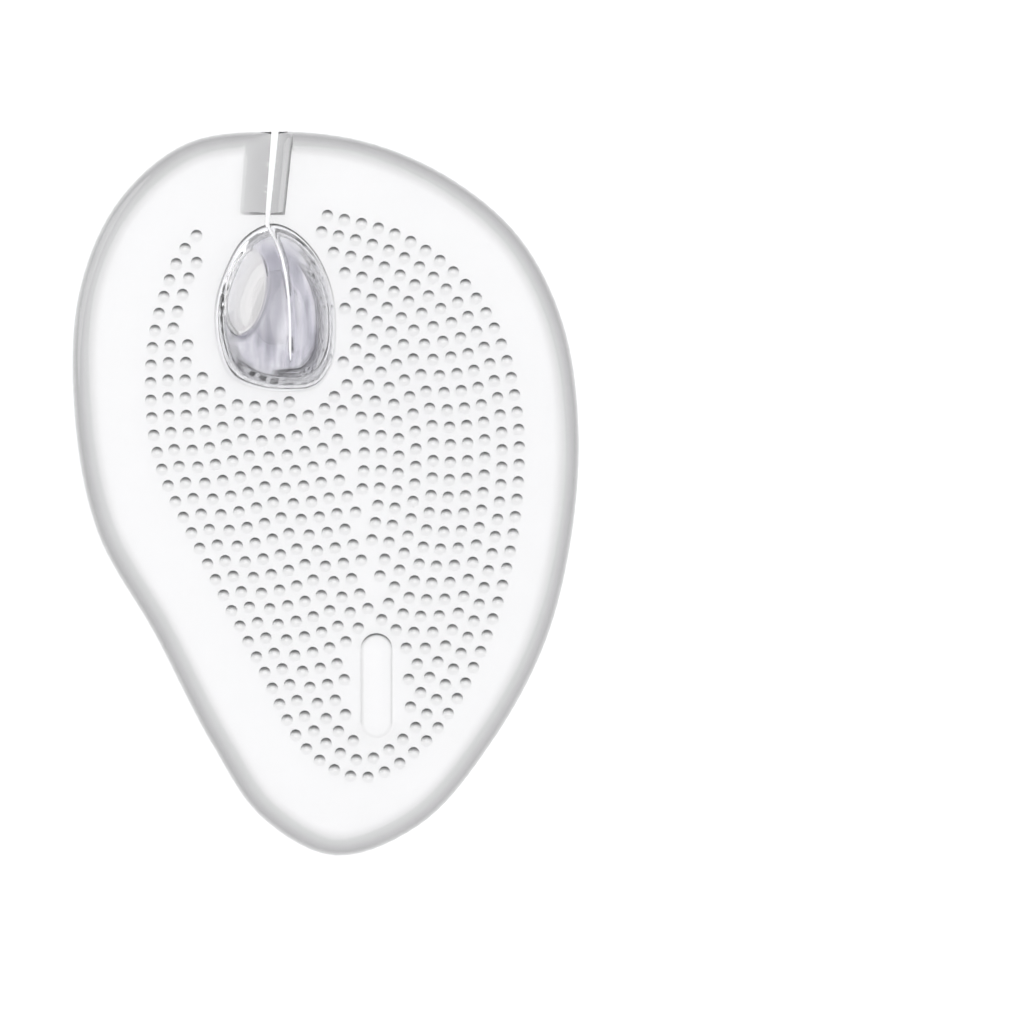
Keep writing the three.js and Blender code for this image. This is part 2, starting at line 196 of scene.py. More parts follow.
# %% Where the nubs stand
NUB_RADIUS = 1.65 * MM / 2
NUB_HEIGHT = 0.5 * MM
NUB_PITCH = 2.42 * MM
RING_PITCH = 2.38 * MM
RING_SLACK = RING_PITCH / 40
NUB_SPACING = 2.05 * MM
FIELD_OUTLINE = [
    (-0.264, 0.795), (0.034, 0.761), (0.3, 0.706), (0.519, 0.598), (0.674, 0.437),
    (0.75, 0.229), (0.753, 0.007), (0.702, -0.229), (0.579, -0.479), (0.384, -0.689),
    (0.145, -0.784), (-0.074, -0.709), (-0.256, -0.479), (-0.479, -0.182), (-0.658, 0.085),
    (-0.694, 0.298), (-0.662, 0.492), (-0.531, 0.698),
]
GUARD_OUTLINE = [
    (-0.08, 1.0), (0.27, 0.93), (0.66, 0.66), (0.92, 0.25), (1.0, -0.2), (0.93, -0.68),
    (0.67, -0.95), (0.2, -1.0), (-0.32, -0.96), (-0.74, -0.82), (-0.95, -0.47), (-1.0, 0.0),
    (-0.84, 0.43), (-0.52, 0.83),
]
GUARD_CLEAR = np.array([2.3 * MM, 1.6 * MM])
GUARD_CLEAR_SHIFT = np.array([-1.6 * MM, 0])
GUARD_CLEAR_MARGIN = 1.5 * MM
SLIT_CLEAR = (9 * MM, 6.3 * MM)
SLIT_CLEAR_OVERLAP = 5 * MM
OBLONG_LENGTH = 14.5 * MM
OBLONG_WIDTH = 4.4 * MM
OBLONG_HEIGHT = 0.45 * MM
OBLONG_MARGIN = 0.5 * MM
oblong_middle = np.array([0.195 * PAD_WIDTH / 2, -0.53 * PAD_LENGTH / 2])


def nearest(points, others):
    """The distance from each point to the nearest of the others, worked out in blocks."""
    blocks = np.array_split(points, max(1, len(points) // 1000))
    gaps = [np.linalg.norm(block[:, None] - others[None], axis=2).min(1) for block in blocks]
    return np.concatenate(gaps)


def from_oblong(points):
    """The distance from the oblong's straight middle line."""
    reach = (OBLONG_LENGTH - OBLONG_WIDTH) / 2
    beyond = np.clip(np.abs(points[:, 1] - oblong_middle[1]) - reach, 0, None)
    return np.hypot(points[:, 0] - oblong_middle[0], beyond)


GUARD_POINTS = 240
guard_foot = guard_middle + closed_loop(GUARD_OUTLINE, GUARD_WIDTH, GUARD_LENGTH, GUARD_POINTS)


def is_open(points):
    """Whether a nub may stand there: off the guard, the slit's smooth band and the oblong."""
    half = np.array([GUARD_WIDTH, GUARD_LENGTH]) / 2 + GUARD_CLEAR
    off_oval = np.linalg.norm((points - guard_middle - GUARD_CLEAR_SHIFT) / half, axis=1) > 1
    off_guard = nearest(points, guard_foot) > GUARD_CLEAR_MARGIN
    across = points[:, 0] - guard_middle[0]
    at_slit = points[:, 1] > guard_middle[1] + GUARD_LENGTH / 2 - SLIT_CLEAR_OVERLAP
    at_slit &= (across > -SLIT_CLEAR[0]) & (across < SLIT_CLEAR[1])
    off_oblong = from_oblong(points) > OBLONG_WIDTH / 2 + OBLONG_MARGIN + NUB_RADIUS
    return off_oval & off_guard & ~at_slit & off_oblong


FIELD_POINTS = 720
field_loop = closed_loop(FIELD_OUTLINE, PAD_WIDTH, PAD_LENGTH, FIELD_POINTS)
nubs = np.empty((0, 2))
for ring in range(int(PAD_WIDTH / 2 / RING_PITCH)):
    loop = inset(field_loop, ring * RING_PITCH)
    loop = loop[nearest(loop, field_loop) > ring * RING_PITCH - RING_SLACK]
    around = np.linalg.norm(loop - np.roll(loop, 1, 0), axis=1).sum() if len(loop) else 0
    count = round(around / NUB_PITCH)
    if count < 3:
        break
    places = even_points(loop, (np.arange(count) + (ring % 2) / 2) / count)
    for point in places[is_open(places)]:
        if len(nubs) == 0 or np.linalg.norm(nubs - point, axis=1).min() > NUB_SPACING:
            nubs = np.vstack([nubs, point])
print(len(nubs), "nubs")

# %% [markdown]
# The top of the pad is a height over each point of the plane: flat in the middle, rounded over
# along the rim, sloping down to the slit, with a dome at each nub. A height function keeps all of
# these in one skin with no seams. The mesh needs points where the height bends, so rings of
# points follow the rim, the lips, the nubs and the oblong, and a triangulation joins them.

# %% The pad's top as a height
RIM_WIDTH = 3.6 * MM
EDGE_HEIGHT = 0.9 * MM
OBLONG_ROUND = 0.6 * MM
# A nub falls off by this power of the way out, over rings of a share of its radius and a count.
NUB_CURVE = 3
NUB_RINGS = [(0.35, 7), (0.6, 10), (0.8, 12), (0.92, 14), (1.0, 14), (1.14, 14)]
# How closely the points stand: round the rim's rings, across a lip, round the oblong, in the grid.
DENSE_POINTS = 2400
RIM_RINGS = 16
SLIT_STEP = 0.4 * MM
LIP_SHARES = (0, 0.2, 0.4, 0.6, 0.75, 0.86, 0.93, 0.97, 0.99, 1.0)
OBLONG_EDGES = (-0.25, 0, 0.1, 0.2, 0.35, 0.6)
OBLONG_STEP = 0.12 * MM
GRID_STEP = 0.045


def quarter_round(distance, width, depth):
    """How far a rounded edge lies below the flat: a quarter of an ellipse, as wide and as deep
    as given, that meets the flat smoothly."""
    share = np.clip(1 - distance / width, 0, 1)
    return depth * (1 - np.sqrt(1 - share**2))


def lip_drop(points):
    """How far the lips lie below the flat: a power of the share of the lip's width that is left.
    They end a little short of the guard."""
    across = points[:, 0] - seam_x(points[:, 1])
    left = across < 0
    share = (np.abs(across) - slit_half(points[:, 1])) / np.where(left, LIP_LEFT, LIP_RIGHT)
    curve = np.where(left, LIP_LEFT_CURVE, LIP_RIGHT_CURVE)
    fade = np.clip((points[:, 1] - seam_knots[0, 1] - LIP_END) / LIP_FADE, 0, 1)
    return LIP_DEPTH * fade * np.clip(1 - share, 0, 1) ** curve


def pad_height(points):
    """The pad's top without its nubs: the height above the upright edge, less the lips' drop,
    times the share of it that the rounded rim leaves, plus the raised oblong."""
    rim_share = 1 - quarter_round(nearest(points, pad_dense), RIM_WIDTH, 1)
    edge = OBLONG_WIDTH / 2 - from_oblong(points)
    raised = OBLONG_HEIGHT - quarter_round(edge, OBLONG_ROUND, OBLONG_HEIGHT)
    body = (PAD_THICKNESS - EDGE_HEIGHT - lip_drop(points)) * rim_share
    return EDGE_HEIGHT + body + np.where(edge > 0, raised, 0)


def stadium(radius, spacing):
    """Evenly spaced points round the oblong, at a distance from its straight middle line."""
    reach = (OBLONG_LENGTH - OBLONG_WIDTH) / 2
    turn = np.linspace(0, math.pi, 60)
    end = np.column_stack([radius * np.cos(turn), radius * np.sin(turn) + reach])
    loop = oblong_middle + np.vstack([end, -end])
    return even_points(loop, np.arange(0, 1, spacing / (2 * math.pi * radius + 4 * reach)))


pad_dense = even_points(pad_loop, np.arange(DENSE_POINTS) / DENSE_POINTS)
steps = np.radians(np.linspace(0, 90, RIM_RINGS))
rim_points = [inset(pad_loop, RIM_WIDTH * (1 - math.cos(a))) for a in steps]
lip_from = seam_knots[0, 1] + LIP_END
lip_ends = lip_from + LIP_FADE * np.linspace(-0.25, 1, 6)
slit_y = np.r_[lip_ends, np.arange(lip_ends[-1], PAD_LENGTH / 2, SLIT_STEP)[1:]]
lip_points = [
    np.column_stack([seam_x(slit_y) + side * (slit_half(slit_y) + width * share), slit_y])
    for side, width in ((-1, LIP_LEFT), (1, LIP_RIGHT))
    for share in LIP_SHARES
]
nub_points = [nubs]
nub_heights = [np.full(len(nubs), NUB_HEIGHT)]
for radius, sides in NUB_RINGS:
    turn = 2 * math.pi * np.arange(sides) / sides
    circle = NUB_RADIUS * radius * np.column_stack([np.cos(turn), np.sin(turn)])
    nub_points.append((nubs[:, None] + circle[None]).reshape(-1, 2))
    nub_heights.append(np.full(len(nubs) * sides, NUB_HEIGHT * max(0, 1 - radius**NUB_CURVE)))
oblong_points = [stadium(OBLONG_WIDTH / 2 - edge * MM, OBLONG_STEP) for edge in OBLONG_EDGES]
across, along = (np.arange(-1, 1, GRID_STEP) * size / 2 for size in (PAD_WIDTH, PAD_LENGTH))
grid = np.stack(np.meshgrid(across, along), -1).reshape(-1, 2)
grid = grid[nearest(grid, nubs) > 1.5 * NUB_RADIUS]
grid = grid[from_oblong(grid) > OBLONG_WIDTH / 2 + NUB_RADIUS]
grid = grid[nearest(grid, pad_dense) > RIM_WIDTH]
grid = grid[lip_drop(grid) == 0]

formed = np.vstack(rim_points[1:] + lip_points + oblong_points + [grid])
tall = np.vstack(nub_points)
plan = np.vstack([pad_loop, formed, tall])
height = np.r_[pad_height(np.vstack([pad_loop, formed])), np.concatenate(nub_heights) + PAD_THICKNESS]
print("top of", len(plan), "points")

# %% Join the points into the pad
def inside(points, loop):
    """Whether points lie inside a loop: a line to the right crosses it an odd number of times."""
    ax, ay = loop.T
    bx, by = np.roll(loop, -1, 0).T
    result = np.zeros(len(points), bool)
    for chunk in np.array_split(np.arange(len(points)), 20):
        x, y = points[chunk, 0:1], points[chunk, 1:2]
        spans = (ay > y) != (by > y)
        with np.errstate(divide="ignore", invalid="ignore"):
            cross = ax + (y - ay) * (bx - ax) / (by - ay)
        result[chunk] = (spans & (x < cross)).sum(1) % 2 == 1
    return result


def make_object(name, vertices, faces):
    """A mesh object from arrays of vertices and a list of faces."""
    mesh = bpy.data.meshes.new(name)
    mesh.from_pydata(vertices, [], faces)
    mesh.validate()
    piece = bpy.data.objects.new(name, mesh)
    bpy.context.scene.collection.objects.link(piece)
    return piece


EDGE_CLEAR = 0.04 * MM
count = len(pad_loop)
keep = np.r_[np.ones(count, bool), inside(plan[count:], inset(pad_loop, EDGE_CLEAR))]
plan, height = plan[keep] / MM, height[keep]
rows, _, faces, origins, _, _ = delaunay_2d_cdt(
    plan.tolist(), [], [list(range(count))], 1, 1e-4
)
first = np.array([row[0] for row in origins])
top = np.column_stack([np.array(rows) * MM, height[first]])
UNDERSIDE_BEVEL = 0.4 * MM
underside = [
    np.column_stack([pad_loop, np.full(count, UNDERSIDE_BEVEL)]),
    np.column_stack([inset(pad_loop, UNDERSIDE_BEVEL), np.zeros(count)]),
    np.zeros((1, 3)),
]
edge_row = {origin: i for i, origin in enumerate(first.tolist()) if origin < count}
edge_row = np.array([edge_row[i] for i in range(count)])
base = len(top)
here, after = np.arange(count), np.roll(np.arange(count), -1)
walls = [
    np.column_stack([edge_row[here], base + here, base + after, edge_row[after]]),
    np.column_stack([base + here, base + count + here, base + count + after, base + after]),
]
fan = np.column_stack([base + count + after, base + count + here, np.full(count, base + 2 * count)])
pad = make_object(
    "gel_insole_moulding",
    np.vstack([top] + underside).tolist(),
    faces + [row for wall in walls for row in wall.tolist()] + fan.tolist(),
)
print("pad of", len(pad.data.polygons), "faces")

# %% [markdown]
# The guard is two cupped wings. Both are cut from one hollow egg-shaped dome, which is a stack of
# rings: each ring is the guard's foot made narrower and shorter, and moved along as it rises.
# The dome's top rounds down into the channel on both sides, so that the wings' free edges are
# soft, and a slot along the seam then parts them. It closes short of the heel end, where the
# wings stay joined. The left wing has a shallow almond-shaped panel pressed into it.

# %% The guard's dome
GUARD_RISE = np.array([
    # height, width, length, lean across, lean along
    (0.0, 1.02, 1.016, 0.0, 0.0),
    (0.016, 1.008, 1.006, 0.0, 0.0),
    (0.04, 1.0, 1.0, 0.0, 0.0),
    (0.1, 0.995, 0.99, 0.0, 0.0),
    (0.22, 0.98, 0.975, 0.01, -0.015),
    (0.35, 0.95, 0.94, 0.02, -0.03),
    (0.62, 0.82, 0.82, 0.07, -0.07),
    (0.83, 0.62, 0.67, 0.13, -0.1),
    (0.96, 0.34, 0.45, 0.18, -0.12),
    (1.0, 0.1, 0.24, 0.2, -0.13),
])
CHANNEL_WIDTH = 0.3 * MM
CHANNEL_SILL = 0.9 * MM
ENTRY_LAP = 0.1 * MM
CHANNEL_REACH = 0.78
CHANNEL_CLOSING = 3 * MM
CHANNEL_ROUND = 0.7 * MM
PANEL_MIDDLE = (-11.3 * MM, 27.6 * MM)
PANEL_HALF = (2.85 * MM, 6.2 * MM)
PANEL_TURN = math.radians(-9)
PANEL_DEPTH = 0.3 * MM
PANEL_EDGE = 0.1
EYELET_WIDTH = 7 * MM
EYELET_LENGTH = 10.5 * MM
EYELET_POINTS = 72
GUARD_ROOT = 0.4 * MM
# How many rings the dome and its hollow have, and how many points each ring.
OUTER_RINGS = (100, 320)
INNER_RINGS = (72, 280)


def smooth_rows(table, count):
    """More rows for a table: each column is a Catmull-Rom curve over the row number."""
    padded = np.vstack([2 * table[0] - table[1], table, 2 * table[-1] - table[-2]])
    place = np.linspace(0, len(table) - 1 - 1e-9, count)
    i = place.astype(int)
    t = (place - i)[:, None]
    p0, p1, p2, p3 = (padded[i + k] for k in range(4))
    return p1 + 0.5 * t * (p2 - p0 + t * (2 * p0 - 5 * p1 + 4 * p2 - p3 + t * (3 * (p1 - p2) + p3 - p0)))


def dome(wall, levels, around):
    """The guard's outer form, or with a wall taken off, its hollow: rings of the foot's outline,
    each scaled and moved by one row of the table. The foot's small flare turns inwards there."""
    foot = closed_loop(GUARD_OUTLINE, GUARD_WIDTH - 2 * wall, GUARD_LENGTH - 2 * wall, around)
    rows = smooth_rows(GUARD_RISE, levels)
    rise = PAD_THICKNESS + rows[:, 0:1] * (GUARD_TOP - PAD_THICKNESS - wall)
    scale = np.where((rows[:, 1:3] > 1) & (wall > 0), 2 - rows[:, 1:3], rows[:, 1:3])
    plan = foot[None] * scale[:, None] + rows[:, None, 3:5] * (GUARD_WIDTH / 2, GUARD_LENGTH / 2)
    plan = plan + guard_middle
    z = np.broadcast_to(rise, plan.shape[:2]).copy()
    return plan, z


def dome_object(name, plan, z, floor):
    """A closed mesh from a dome's rings, with one more ring below at the floor's height."""
    levels, around = z.shape
    rings = np.concatenate([np.dstack([plan[:1], np.full((1, around), floor)]), np.dstack([plan, z])])
    rows = np.arange((levels + 1) * around).reshape(levels + 1, around)
    a, b = rows[:-1], np.roll(rows, -1, 1)[:-1]
    c, d = np.roll(rows, -1, 1)[1:], rows[1:]
    sides = np.stack([a, b, c, d], -1).reshape(-1, 4)
    ends = [rows[0][::-1].tolist(), rows[-1].tolist()]
    return make_object(name, rings.reshape(-1, 3).tolist(), sides.tolist() + ends)


def panel_share(plan):
    """How far out a point lies in the left wing's almond-shaped panel: 0 in its middle and 1 on
    its outline, an ellipse turned a little."""
    off = plan - PANEL_MIDDLE
    c, sn = math.cos(PANEL_TURN), math.sin(PANEL_TURN)
    across = (off[..., 0] * c + off[..., 1] * sn) / PANEL_HALF[0]
    along = (off[..., 1] * c - off[..., 0] * sn) / PANEL_HALF[1]
    return np.hypot(across, along)


channel_end = seam_knots[0, 1] + OVERRUN - CHANNEL_REACH * (GUARD_LENGTH + 2 * OVERRUN)
outer_plan, outer_z = dome(0, *OUTER_RINGS)
beyond = np.clip(channel_end + CHANNEL_CLOSING / 2 - outer_plan[..., 1], 0, None)
aside = np.hypot(outer_plan[..., 0] - seam_x(outer_plan[..., 1]), beyond) - CHANNEL_WIDTH / 2
above_sill = outer_z > PAD_THICKNESS + CHANNEL_SILL
rounding = quarter_round(np.clip(aside, 0, None), CHANNEL_ROUND, CHANNEL_ROUND)
dip = PANEL_DEPTH * np.clip((1 - panel_share(outer_plan)) / PANEL_EDGE, 0, 1)
outer_z -= np.where(above_sill, rounding + dip, 0)
wings = dome_object("guard", outer_plan, outer_z, PAD_THICKNESS - GUARD_ROOT)
inner_plan, inner_z = dome(GUARD_WALL, *INNER_RINGS)
hollow = dome_object("hollow", inner_plan, inner_z, PAD_THICKNESS - GUARD_ROOT)
print("guard of", len(wings.data.polygons), "faces")

# %% [markdown]
# Slots and holes are cut with closed cutters, and the wings are joined to the pad, so that the
# finished moulding is one skin with nothing inside. Light bends only where the gel really ends.

# %% Cut and join
SLOT_STATIONS = 60
SHARP_ANGLE = math.radians(38)


def slot_object(name, half, y_from, y_to, z_from, z_to):
    """A closed cutter along the seam: at each station an upright rectangle, its half width given
    by a function of the place."""
    y = np.linspace(y_from, y_to, SLOT_STATIONS)
    x, side = seam_x(y), half(y)
    corners = [(-1, z_from), (1, z_from), (1, z_to), (-1, z_to)]
    rings = np.stack([np.column_stack([x + s * side, y, np.full_like(y, z)]) for s, z in corners], 1)
    rows = np.arange(len(y) * 4).reshape(-1, 4)
    a, b = rows[:-1], np.roll(rows, -1, 1)[:-1]
    c, d = np.roll(rows, -1, 1)[1:], rows[1:]
    sides = np.stack([a, d, c, b], -1).reshape(-1, 4)
    ends = [rows[0].tolist(), rows[-1][::-1].tolist()]
    cutter = make_object(name, rings.reshape(-1, 3).tolist(), sides.tolist() + ends)
    make_outward(cutter)
    return cutter


def make_outward(piece):
    """Turn a closed mesh's faces outwards, if the volume that they enclose counts as negative."""
    mesh = piece.data
    mesh.calc_loop_triangles()
    corners = np.empty(len(mesh.loop_triangles) * 3, np.int32)
    mesh.loop_triangles.foreach_get("vertices", corners)
    places = np.empty(len(mesh.vertices) * 3)
    mesh.vertices.foreach_get("co", places)
    a, b, c = places.reshape(-1, 3)[corners].reshape(-1, 3, 3).transpose(1, 0, 2)
    if np.einsum("ij,ij->i", a, np.cross(b, c)).sum() < 0:
        mesh.flip_normals()


def combine(piece, other, operation):
    """Join or cut one closed mesh with another, which is then removed."""
    change = piece.modifiers.new(operation.lower(), "BOOLEAN")
    change.operation = operation
    change.solver = "MANIFOLD"
    change.object = other
    bpy.context.view_layer.update()
    evaluated = piece.evaluated_get(bpy.context.evaluated_depsgraph_get())
    mesh = bpy.data.meshes.new_from_object(evaluated)
    piece.modifiers.clear()
    old, piece.data = piece.data, mesh
    bpy.data.meshes.remove(old)
    bpy.data.objects.remove(other)
    print(operation.lower(), "leaves", len(piece.data.polygons), "faces")


def channel_half(y):
    """Half the channel's width: it closes in a quarter of an ellipse at the heel end."""
    closing = np.clip((y - channel_end) / CHANNEL_CLOSING, 0, 1)
    return CHANNEL_WIDTH / 2 * np.sqrt(1 - (1 - closing) ** 2) + 0.01 * MM


for piece in (pad, wings, hollow):
    make_outward(piece)
toe_end = PAD_LENGTH / 2 + OVERRUN
channel = slot_object(
    "channel", channel_half, channel_end,
    seam_knots[0, 1] + OVERRUN, PAD_THICKNESS + CHANNEL_SILL, GUARD_TOP + OVERRUN,
)
slit = slot_object(
    "slit", slit_half, guard_middle[1], toe_end,
    -OVERRUN, PAD_THICKNESS + CHANNEL_SILL + ENTRY_LAP,
)
turn = 2 * math.pi * np.arange(EYELET_POINTS) / EYELET_POINTS
oval = guard_middle + np.column_stack([EYELET_WIDTH * np.cos(turn), EYELET_LENGTH * np.sin(turn)]) / 2
eyelet = dome_object(
    "eyelet",
    np.stack([oval, oval]),
    np.stack([np.zeros(EYELET_POINTS), np.full(EYELET_POINTS, PAD_THICKNESS + CHANNEL_SILL)]),
    -OVERRUN,
)
make_outward(eyelet)
combine(wings, hollow, "DIFFERENCE")
combine(wings, channel, "DIFFERENCE")
combine(pad, wings, "UNION")
combine(pad, slit, "DIFFERENCE")
combine(pad, eyelet, "DIFFERENCE")
pad.data.name = pad.name
pad.data.polygons.foreach_set("use_smooth", np.ones(len(pad.data.polygons), bool))
pad.data.set_sharp_from_angle(angle=SHARP_ANGLE)
print("moulding of", len(pad.data.polygons), "faces")

# %% [markdown]
# The material is clear moulded polyurethane gel. It bends light a little less than glass, its
# surface is glossy but never quite flat, and a lavender grey shows where the guard is thick.
# A sloping surface sends the lamps' light aside. A path tracer finds such light slowly, so shadow
# rays pass straight through the gel here, and painted shade takes its place: the colour gets
# darker with the slope of the surface, which paints the soft grey band along the rim and the grey
# of the lips, and darker where a surface faces the toes, which paints a dark arc on the toe side
# of each nub. The pad under the guard is left clear, so that only the guard's own grey shows
# there. On the guard the grey carries painted streaks of the walls' inner reflections, painted
# shade along the seam and painted light on the steep foot, and the left wing's panel is a plain
# painted reflection of the left softbox, free of streaks, with a painted shade line along its
# heel and right sides.

# %% Clear gel
def linear(code):
    """An sRGB hex colour as linear values with alpha: the power curve of the sRGB standard."""
    parts = [int(code[i:i + 2], 16) / 255 for i in (1, 3, 5)]
    return [p / 12.92 if p <= 0.04045 else ((p + 0.055) / 1.055) ** 2.4 for p in parts] + [1]


def add_node(tree, kind, settings=None, inputs=None, stops=()):
    """A new node with its settings, its inputs set to a value or linked from a socket, and its
    colour ramp's stops, each a position and a grey."""
    node = tree.nodes.new(kind)
    for name, value in (settings or {}).items():
        setattr(node, name, value)
    for name, value in (inputs or {}).items():
        if isinstance(value, bpy.types.NodeSocket):
            tree.links.new(value, node.inputs[name])
        else:
            node.inputs[name].default_value = value
    for _ in stops[2:]:
        node.color_ramp.elements.new(0.5)
    for i, (position, grey) in enumerate(stops):
        node.color_ramp.elements[i].position = position
        node.color_ramp.elements[i].color = (grey, grey, grey, 1)
    return node


# The painted shade of the rim and the lips: how much light a slope lets through, by the sine of its angle
# to the flat.
RIM_SHADE = [
    (0.0, 1.0), (0.05, 0.965), (0.09, 0.93), (0.14, 0.886), (0.19, 0.84), (0.24, 0.81),
    (0.29, 0.775), (0.35, 0.76), (0.42, 0.715), (0.49, 0.675), (0.58, 0.64), (0.68, 0.6),
    (0.81, 0.45), (0.95, 0.3),
]
# Painted light low on the rim, for the light that comes in from outside there: from what height, and from
# what slope on.
EDGE_LIGHT = (2.1 * MM, 1.2 * MM)
EDGE_SLOPE = (0.6, 0.8)
# The painted shade above the pad's top, by how far a surface faces the toes.
TOE_SHADE = [(0.0, 1.0), (0.12, 0.95), (0.3, 0.82), (0.6, 0.42), (0.9, 0.15)]
SIDE_SHARE = 0.3
# Painted light low on the guard: its steep walls are mixed towards a lighter grey, from what slope on.
STEEP_WALL_LIGHT = (0.72, 0.95)
FLAT_GEL = 0.7
# The guard's own lavender grey, with painted streaks of the walls' inner reflections between the lighter
# and the darker grey. The darker grey is also the painted shade along the seam.
GUARD_LIGHT_GREY = "#d9d8dc"
GUARD_DARK_GREY = "#a1a0a8"
# The lighter grey that the painted light on the guard's steep foot mixes in.
FOOT_PAINTED_LIGHT = "#d6d6d9"
# The painted reflection of the left softbox in the left wing's panel.
PANEL_PAINTED_REFLECTION = "#c8c7c6"
# The painted shade line along the panel's heel and right sides.
PANEL_SHADE_LINE = "#73727c"
# Painted shade along the seam: the left wing is darker in a long oval between its panel and the channel.
SEAM_SHADE_MIDDLE = (-7.7 * MM, 26.8 * MM)
SEAM_SHADE_HALF = (1.9 * MM, 8 * MM)
# The surface's soft waves, and the painted streaks of the walls' inner reflections in the guard: how large,
# and how strong.
RIPPLE_SIZE = 9 * MM
RIPPLE_DEPTH = 0.12 * MM
STREAK_SIZE = (1.6 * MM, 9 * MM, 5 * MM)
STREAK_SPAN = (0.35, 0.65)
# The pad is clear under the guard: from what share of the hollow's oval, and up to what share.
COVER_FADE = (1.08, 0.98)
TOP_CLEAR = 0.002 * MM


def clear_gel():
    """Moulded clear polyurethane gel. A surface passes the square root of its colour, so a wall
    with two surfaces passes the colour itself."""
    material = bpy.data.materials.new("clear_polyurethane_gel")
    material.use_nodes = True
    tree = material.node_tree
    tree.nodes.clear()
    place = add_node(tree, "ShaderNodeTexCoord").outputs["Object"]
    up = add_node(tree, "ShaderNodeSeparateXYZ", {}, {"Vector": place}).outputs["Z"]
    ripple = add_node(tree, "ShaderNodeTexNoise", {}, {
        "Vector": place, "Scale": 1 / RIPPLE_SIZE, "Detail": 1.0,
    })
    bump = add_node(tree, "ShaderNodeBump", {}, {
        "Strength": 0.25, "Distance": RIPPLE_DEPTH, "Height": ripple.outputs["Fac"],
    })

    normal = add_node(tree, "ShaderNodeNewGeometry").outputs["Normal"]
    tilt = add_node(tree, "ShaderNodeVectorMath", {"operation": "MULTIPLY"}, {
        0: normal, 1: (1, 1, 0),
    }).outputs["Vector"]
    slope = add_node(tree, "ShaderNodeVectorMath", {"operation": "LENGTH"}, {0: tilt}).outputs["Value"]
    to_toes = add_node(tree, "ShaderNodeSeparateXYZ", {}, {"Vector": normal}).outputs["Y"]
    facing = add_node(tree, "ShaderNodeMath", {"operation": "MULTIPLY_ADD"}, {
        0: slope, 1: SIDE_SHARE, 2: to_toes,
    }).outputs["Value"]
    # Painted shade: the colour of the rim and the lips darkens with their slope.
    rim = add_node(tree, "ShaderNodeValToRGB", {}, {"Fac": slope}, [
        (share, FLAT_GEL * passed**2) for share, passed in RIM_SHADE
    ])
    # Painted light low on the steep outer edge of the rim.
    low = add_node(tree, "ShaderNodeMapRange", {}, {
        "Value": up, "From Min": EDGE_LIGHT[0], "From Max": EDGE_LIGHT[1],
    })
    steep = add_node(tree, "ShaderNodeMapRange", {}, {
        "Value": slope, "From Min": EDGE_SLOPE[0], "From Max": EDGE_SLOPE[1],
    })
    lit = add_node(tree, "ShaderNodeMath", {"operation": "MULTIPLY"}, {
        0: low.outputs["Result"], 1: steep.outputs["Result"],
    })
    edge = add_node(tree, "ShaderNodeMix", {"data_type": "RGBA"}, {
        0: lit.outputs["Value"], 6: rim.outputs["Color"], 7: (FLAT_GEL, FLAT_GEL, FLAT_GEL, 1),
    })
    under_guard = add_node(tree, "ShaderNodeMapping", {"vector_type": "TEXTURE"}, {
        "Vector": place, "Location": (*guard_middle, 0),
        "Scale": (GUARD_WIDTH / 2 - GUARD_WALL, GUARD_LENGTH / 2 - GUARD_WALL, 1),
    })
    from_middle = add_node(tree, "ShaderNodeVectorMath", {"operation": "LENGTH"}, {
        0: under_guard.outputs["Vector"],
    })
    covered = add_node(tree, "ShaderNodeMapRange", {}, {
        "Value": from_middle.outputs["Value"], "From Min": COVER_FADE[0], "From Max": COVER_FADE[1],
    })
    plate = add_node(tree, "ShaderNodeMix", {"data_type": "RGBA"}, {
        0: covered.outputs["Result"], 6: edge.outputs[2], 7: (1, 1, 1, 1),
    })
    # Painted shade: slopes that face the toes are darker, which draws an arc on each nub.
    arc = add_node(tree, "ShaderNodeValToRGB", {}, {"Fac": facing}, [
        (share, FLAT_GEL * passed**2) for share, passed in TOE_SHADE
    ])

    stretched = add_node(tree, "ShaderNodeMapping", {}, {
        "Vector": place, "Scale": [1 / size for size in STREAK_SIZE],
    })
    streaks = add_node(tree, "ShaderNodeTexNoise", {}, {
        "Vector": stretched.outputs["Vector"], "Scale": 1.0, "Detail": 2.0,
    })
    # Painted streaks of the walls' inner reflections, across the guard's own grey.
    body = add_node(tree, "ShaderNodeMix", {"data_type": "RGBA"}, {
        0: add_node(tree, "ShaderNodeMapRange", {}, {
            "Value": streaks.outputs["Fac"], "From Min": STREAK_SPAN[0], "From Max": STREAK_SPAN[1],
        }).outputs["Result"],
        6: linear(GUARD_LIGHT_GREY), 7: linear(GUARD_DARK_GREY),
    })
    # The panel's mask, where the painted reflection of the left softbox takes the place of the guard's
    # grey.
    in_panel = add_node(tree, "ShaderNodeMapping", {"vector_type": "TEXTURE"}, {
        "Vector": place, "Location": (*PANEL_MIDDLE, 0), "Rotation": (0, 0, PANEL_TURN),
        "Scale": (*PANEL_HALF, 1),
    })
    outwards = add_node(tree, "ShaderNodeVectorMath", {"operation": "LENGTH"}, {
        0: in_panel.outputs["Vector"],
    })
    panel = add_node(tree, "ShaderNodeMapRange", {}, {
        "Value": outwards.outputs["Value"], "From Min": 1.0, "From Max": 1 - PANEL_EDGE / 2,
    })
